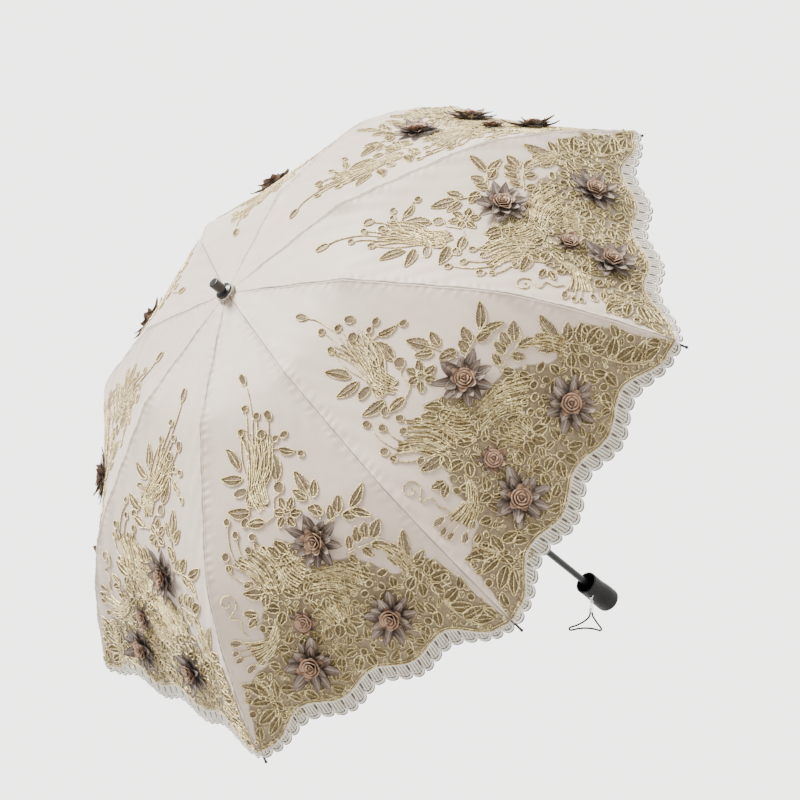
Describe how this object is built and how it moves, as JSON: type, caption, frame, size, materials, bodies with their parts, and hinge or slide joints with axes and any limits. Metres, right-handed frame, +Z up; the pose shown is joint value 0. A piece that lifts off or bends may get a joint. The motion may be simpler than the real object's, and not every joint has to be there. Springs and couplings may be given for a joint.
{
  "type": "folding parasol",
  "caption": "Open folding parasol with a domed cloth canopy, hinged three-fold ribs, a telescoping shaft, a short cup grip and a small cord loop.",
  "frame": {"origin": "middle of the grip, on the shaft's axis", "axes": "+Z up the shaft to the ferrule, +X along the first rib"},
  "size_m": [0.8596, 0.8596, 0.7392],
  "materials": {
    "grip": "soft matte charcoal",
    "tube": "satin black",
    "plastic": "moulded black",
    "rib_steel": "black lacquered steel",
    "rib_outer": "black fibreglass rod",
    "wire": "drawn wire",
    "silver": "bright plated",
    "cloth": "ivory satin",
    "lace": "gold embroidered net",
    "flower": "mauve organza petals",
    "cord": "black braid"
  },
  "bodies": {
    "handle": {"handle_grip": "grip", "lower_tube": "tube", "strap_eyelet": "silver"},
    "lower_detent": {"lower_detent": "wire"},
    "middle_tube": {"middle_tube": "tube"},
    "middle_detent": {"middle_detent": "wire"},
    "top_tube": {"top_tube": "tube", "crown": "plastic", "crown_wire": "wire", "ferrule": "plastic", "ferrule_washer": "silver", "top_rosette": "lace", "canopy_gores": "cloth", "lace_flowers": "flower"},
    "runner_catch": {"runner_catch": "wire"},
    "runner": {"runner": "plastic", "runner_wire": "wire"},
    "strap": {"strap_chain": "silver", "strap_crimp": "silver", "wrist_strap": "cord"},
    "inner_rib_1": {"inner_rib_1": "rib_steel"},
    "stretcher_1": {"stretcher_1": "rib_steel"},
    "middle_rib_1": {"middle_rib_1": "rib_steel"},
    "outer_rib_1": {"outer_rib_1": "rib_outer", "rib_tip_1": "plastic"},
    "inner_rib_2": {"inner_rib_2": "rib_steel"},
    "stretcher_2": {"stretcher_2": "rib_steel"},
    "middle_rib_2": {"middle_rib_2": "rib_steel"},
    "outer_rib_2": {"outer_rib_2": "rib_outer", "rib_tip_2": "plastic"},
    "inner_rib_3": {"inner_rib_3": "rib_steel"},
    "stretcher_3": {"stretcher_3": "rib_steel"},
    "middle_rib_3": {"middle_rib_3": "rib_steel"},
    "outer_rib_3": {"outer_rib_3": "rib_outer", "rib_tip_3": "plastic"},
    "inner_rib_4": {"inner_rib_4": "rib_steel"},
    "stretcher_4": {"stretcher_4": "rib_steel"},
    "middle_rib_4": {"middle_rib_4": "rib_steel"},
    "outer_rib_4": {"outer_rib_4": "rib_outer", "rib_tip_4": "plastic"},
    "inner_rib_5": {"inner_rib_5": "rib_steel"},
    "stretcher_5": {"stretcher_5": "rib_steel"},
    "middle_rib_5": {"middle_rib_5": "rib_steel"},
    "outer_rib_5": {"outer_rib_5": "rib_outer", "rib_tip_5": "plastic"},
    "inner_rib_6": {"inner_rib_6": "rib_steel"},
    "stretcher_6": {"stretcher_6": "rib_steel"},
    "middle_rib_6": {"middle_rib_6": "rib_steel"},
    "outer_rib_6": {"outer_rib_6": "rib_outer", "rib_tip_6": "plastic"},
    "inner_rib_7": {"inner_rib_7": "rib_steel"},
    "stretcher_7": {"stretcher_7": "rib_steel"},
    "middle_rib_7": {"middle_rib_7": "rib_steel"},
    "outer_rib_7": {"outer_rib_7": "rib_outer", "rib_tip_7": "plastic"},
    "inner_rib_8": {"inner_rib_8": "rib_steel"},
    "stretcher_8": {"stretcher_8": "rib_steel"},
    "middle_rib_8": {"middle_rib_8": "rib_steel"},
    "outer_rib_8": {"outer_rib_8": "rib_outer", "rib_tip_8": "plastic"}
  },
  "joints": [
    {"name": "lower_slide", "type": "slide", "parent": "handle", "child": "middle_tube", "axis": [0, 0, -1], "range_m": [0, 0.2], "deforming": ["lower_detent"]},
    {"name": "upper_slide", "type": "slide", "parent": "middle_tube", "child": "top_tube", "axis": [0, 0, -1], "range_m": [0, 0.2], "deforming": ["middle_detent"]},
    {"name": "lower_detent_press", "type": "hinge", "parent": "handle", "child": "lower_detent", "pos_m": [-0.00392, 0, 0.222], "axis": [0, 1, 0], "range_deg": [0, 4], "stiffness_Nm_per_rad": 0.5},
    {"name": "middle_detent_press", "type": "hinge", "parent": "middle_tube", "child": "middle_detent", "pos_m": [-0.00458, 0, 0.428], "axis": [0, 1, 0], "range_deg": [0, 4], "stiffness_Nm_per_rad": 0.5},
    {"name": "runner_catch_press", "type": "hinge", "parent": "top_tube", "child": "runner_catch", "pos_m": [-0.00522, 0, 0.60021], "axis": [0, 1, 0], "range_deg": [0, 4], "stiffness_Nm_per_rad": 0.5},
    {"name": "canopy_fold", "type": "hinge", "parent": "top_tube", "child": "inner_rib_1", "pos_m": [0.01, 0, 0.6846], "axis": [0, 1, 0], "range_deg": [0, 77.5], "deforming": ["canopy_gores", "lace_flowers", "runner_catch"]},
    {"name": "stretcher_hinge_1", "type": "hinge", "parent": "inner_rib_1", "child": "stretcher_1", "pos_m": [0.11189, 0, 0.66291], "axis": [0, 1, 0], "range_deg": [-155.01, 0]},
    {"name": "first_elbow_1", "type": "hinge", "parent": "inner_rib_1", "child": "middle_rib_1", "pos_m": [0.14905, 0, 0.66594], "axis": [0, 1, 0], "range_deg": [-192.99, 0]},
    {"name": "second_elbow_1", "type": "hinge", "parent": "middle_rib_1", "child": "outer_rib_1", "pos_m": [0.28087, 0, 0.59691], "axis": [0, 1, 0], "range_deg": [0, 157.57]},
    {"name": "inner_rib_hinge_2", "type": "hinge", "parent": "top_tube", "child": "inner_rib_2", "pos_m": [0.00707, 0.00707, 0.6846], "axis": [-0.7071, 0.7071, 0], "range_deg": [0, 77.5]},
    {"name": "stretcher_hinge_2", "type": "hinge", "parent": "inner_rib_2", "child": "stretcher_2", "pos_m": [0.07912, 0.07912, 0.66291], "axis": [-0.7071, 0.7071, 0], "range_deg": [-155.01, 0]},
    {"name": "first_elbow_2", "type": "hinge", "parent": "inner_rib_2", "child": "middle_rib_2", "pos_m": [0.1054, 0.1054, 0.66594], "axis": [-0.7071, 0.7071, 0], "range_deg": [-192.99, 0]},
    {"name": "second_elbow_2", "type": "hinge", "parent": "middle_rib_2", "child": "outer_rib_2", "pos_m": [0.19861, 0.19861, 0.59691], "axis": [-0.7071, 0.7071, 0], "range_deg": [0, 157.57]},
    {"name": "inner_rib_hinge_3", "type": "hinge", "parent": "top_tube", "child": "inner_rib_3", "pos_m": [0, 0.01, 0.6846], "axis": [-1, 0, 0], "range_deg": [0, 77.5]},
    {"name": "stretcher_hinge_3", "type": "hinge", "parent": "inner_rib_3", "child": "stretcher_3", "pos_m": [0, 0.11189, 0.66291], "axis": [-1, 0, 0], "range_deg": [-155.01, 0]},
    {"name": "first_elbow_3", "type": "hinge", "parent": "inner_rib_3", "child": "middle_rib_3", "pos_m": [0, 0.14905, 0.66594], "axis": [-1, 0, 0], "range_deg": [-192.99, 0]},
    {"name": "second_elbow_3", "type": "hinge", "parent": "middle_rib_3", "child": "outer_rib_3", "pos_m": [0, 0.28087, 0.59691], "axis": [-1, 0, 0], "range_deg": [0, 157.57]},
    {"name": "inner_rib_hinge_4", "type": "hinge", "parent": "top_tube", "child": "inner_rib_4", "pos_m": [-0.00707, 0.00707, 0.6846], "axis": [-0.7071, -0.7071, 0], "range_deg": [0, 77.5]},
    {"name": "stretcher_hinge_4", "type": "hinge", "parent": "inner_rib_4", "child": "stretcher_4", "pos_m": [-0.07912, 0.07912, 0.66291], "axis": [-0.7071, -0.7071, 0], "range_deg": [-155.01, 0]},
    {"name": "first_elbow_4", "type": "hinge", "parent": "inner_rib_4", "child": "middle_rib_4", "pos_m": [-0.1054, 0.1054, 0.66594], "axis": [-0.7071, -0.7071, 0], "range_deg": [-192.99, 0]},
    {"name": "second_elbow_4", "type": "hinge", "parent": "middle_rib_4", "child": "outer_rib_4", "pos_m": [-0.19861, 0.19861, 0.59691], "axis": [-0.7071, -0.7071, 0], "range_deg": [0, 157.57]},
    {"name": "inner_rib_hinge_5", "type": "hinge", "parent": "top_tube", "child": "inner_rib_5", "pos_m": [-0.01, 0, 0.6846], "axis": [0, -1, 0], "range_deg": [0, 77.5]},
    {"name": "stretcher_hinge_5", "type": "hinge", "parent": "inner_rib_5", "child": "stretcher_5", "pos_m": [-0.11189, 0, 0.66291], "axis": [0, -1, 0], "range_deg": [-155.01, 0]},
    {"name": "first_elbow_5", "type": "hinge", "parent": "inner_rib_5", "child": "middle_rib_5", "pos_m": [-0.14905, 0, 0.66594], "axis": [0, -1, 0], "range_deg": [-192.99, 0]},
    {"name": "second_elbow_5", "type": "hinge", "parent": "middle_rib_5", "child": "outer_rib_5", "pos_m": [-0.28087, 0, 0.59691], "axis": [0, -1, 0], "range_deg": [0, 157.57]},
    {"name": "inner_rib_hinge_6", "type": "hinge", "parent": "top_tube", "child": "inner_rib_6", "pos_m": [-0.00707, -0.00707, 0.6846], "axis": [0.7071, -0.7071, 0], "range_deg": [0, 77.5]},
    {"name": "stretcher_hinge_6", "type": "hinge", "parent": "inner_rib_6", "child": "stretcher_6", "pos_m": [-0.07912, -0.07912, 0.66291], "axis": [0.7071, -0.7071, 0], "range_deg": [-155.01, 0]},
    {"name": "first_elbow_6", "type": "hinge", "parent": "inner_rib_6", "child": "middle_rib_6", "pos_m": [-0.1054, -0.1054, 0.66594], "axis": [0.7071, -0.7071, 0], "range_deg": [-192.99, 0]},
    {"name": "second_elbow_6", "type": "hinge", "parent": "middle_rib_6", "child": "outer_rib_6", "pos_m": [-0.19861, -0.19861, 0.59691], "axis": [0.7071, -0.7071, 0], "range_deg": [0, 157.57]},
    {"name": "inner_rib_hinge_7", "type": "hinge", "parent": "top_tube", "child": "inner_rib_7", "pos_m": [0, -0.01, 0.6846], "axis": [1, 0, 0], "range_deg": [0, 77.5]},
    {"name": "stretcher_hinge_7", "type": "hinge", "parent": "inner_rib_7", "child": "stretcher_7", "pos_m": [0, -0.11189, 0.66291], "axis": [1, 0, 0], "range_deg": [-155.01, 0]},
    {"name": "first_elbow_7", "type": "hinge", "parent": "inner_rib_7", "child": "middle_rib_7", "pos_m": [0, -0.14905, 0.66594], "axis": [1, 0, 0], "range_deg": [-192.99, 0]},
    {"name": "second_elbow_7", "type": "hinge", "parent": "middle_rib_7", "child": "outer_rib_7", "pos_m": [0, -0.28087, 0.59691], "axis": [1, 0, 0], "range_deg": [0, 157.57]},
    {"name": "inner_rib_hinge_8", "type": "hinge", "parent": "top_tube", "child": "inner_rib_8", "pos_m": [0.00707, -0.00707, 0.6846], "axis": [0.7071, 0.7071, 0], "range_deg": [0, 77.5]},
    {"name": "stretcher_hinge_8", "type": "hinge", "parent": "inner_rib_8", "child": "stretcher_8", "pos_m": [0.07912, -0.07912, 0.66291], "axis": [0.7071, 0.7071, 0], "range_deg": [-155.01, 0]},
    {"name": "first_elbow_8", "type": "hinge", "parent": "inner_rib_8", "child": "middle_rib_8", "pos_m": [0.1054, -0.1054, 0.66594], "axis": [0.7071, 0.7071, 0], "range_deg": [-192.99, 0]},
    {"name": "second_elbow_8", "type": "hinge", "parent": "middle_rib_8", "child": "outer_rib_8", "pos_m": [0.19861, -0.19861, 0.59691], "axis": [0.7071, 0.7071, 0], "range_deg": [0, 157.57]},
    {"name": "runner_hinge", "type": "hinge", "parent": "stretcher_1", "child": "runner", "pos_m": [0.01, 0, 0.64121], "axis": [0, 1, 0], "range_deg": [0, 77.51]},
    {"name": "strap_swing", "type": "hinge", "parent": "handle", "child": "strap", "pos_m": [0.00471, -0.01633, 0.015], "axis": [0.9608, 0.2773, 0], "range_deg": [-25, 45]}
  ],
  "couplings": [
    {"joint": "stretcher_hinge_1", "follows": "canopy_fold", "ratio": -2},
    {"joint": "first_elbow_1", "follows": "canopy_fold", "ratio": -2.49},
    {"joint": "second_elbow_1", "follows": "canopy_fold", "ratio": 2.033},
    {"joint": "inner_rib_hinge_2", "follows": "canopy_fold", "ratio": 1},
    {"joint": "stretcher_hinge_2", "follows": "canopy_fold", "ratio": -2},
    {"joint": "first_elbow_2", "follows": "canopy_fold", "ratio": -2.49},
    {"joint": "second_elbow_2", "follows": "canopy_fold", "ratio": 2.033},
    {"joint": "inner_rib_hinge_3", "follows": "canopy_fold", "ratio": 1},
    {"joint": "stretcher_hinge_3", "follows": "canopy_fold", "ratio": -2},
    {"joint": "first_elbow_3", "follows": "canopy_fold", "ratio": -2.49},
    {"joint": "second_elbow_3", "follows": "canopy_fold", "ratio": 2.033},
    {"joint": "inner_rib_hinge_4", "follows": "canopy_fold", "ratio": 1},
    {"joint": "stretcher_hinge_4", "follows": "canopy_fold", "ratio": -2},
    {"joint": "first_elbow_4", "follows": "canopy_fold", "ratio": -2.49},
    {"joint": "second_elbow_4", "follows": "canopy_fold", "ratio": 2.033},
    {"joint": "inner_rib_hinge_5", "follows": "canopy_fold", "ratio": 1},
    {"joint": "stretcher_hinge_5", "follows": "canopy_fold", "ratio": -2},
    {"joint": "first_elbow_5", "follows": "canopy_fold", "ratio": -2.49},
    {"joint": "second_elbow_5", "follows": "canopy_fold", "ratio": 2.033},
    {"joint": "inner_rib_hinge_6", "follows": "canopy_fold", "ratio": 1},
    {"joint": "stretcher_hinge_6", "follows": "canopy_fold", "ratio": -2},
    {"joint": "first_elbow_6", "follows": "canopy_fold", "ratio": -2.49},
    {"joint": "second_elbow_6", "follows": "canopy_fold", "ratio": 2.033},
    {"joint": "inner_rib_hinge_7", "follows": "canopy_fold", "ratio": 1},
    {"joint": "stretcher_hinge_7", "follows": "canopy_fold", "ratio": -2},
    {"joint": "first_elbow_7", "follows": "canopy_fold", "ratio": -2.49},
    {"joint": "second_elbow_7", "follows": "canopy_fold", "ratio": 2.033},
    {"joint": "inner_rib_hinge_8", "follows": "canopy_fold", "ratio": 1},
    {"joint": "stretcher_hinge_8", "follows": "canopy_fold", "ratio": -2},
    {"joint": "first_elbow_8", "follows": "canopy_fold", "ratio": -2.49},
    {"joint": "second_elbow_8", "follows": "canopy_fold", "ratio": 2.033},
    {"joint": "runner_hinge", "follows": "canopy_fold", "ratio": 1}
  ]
}
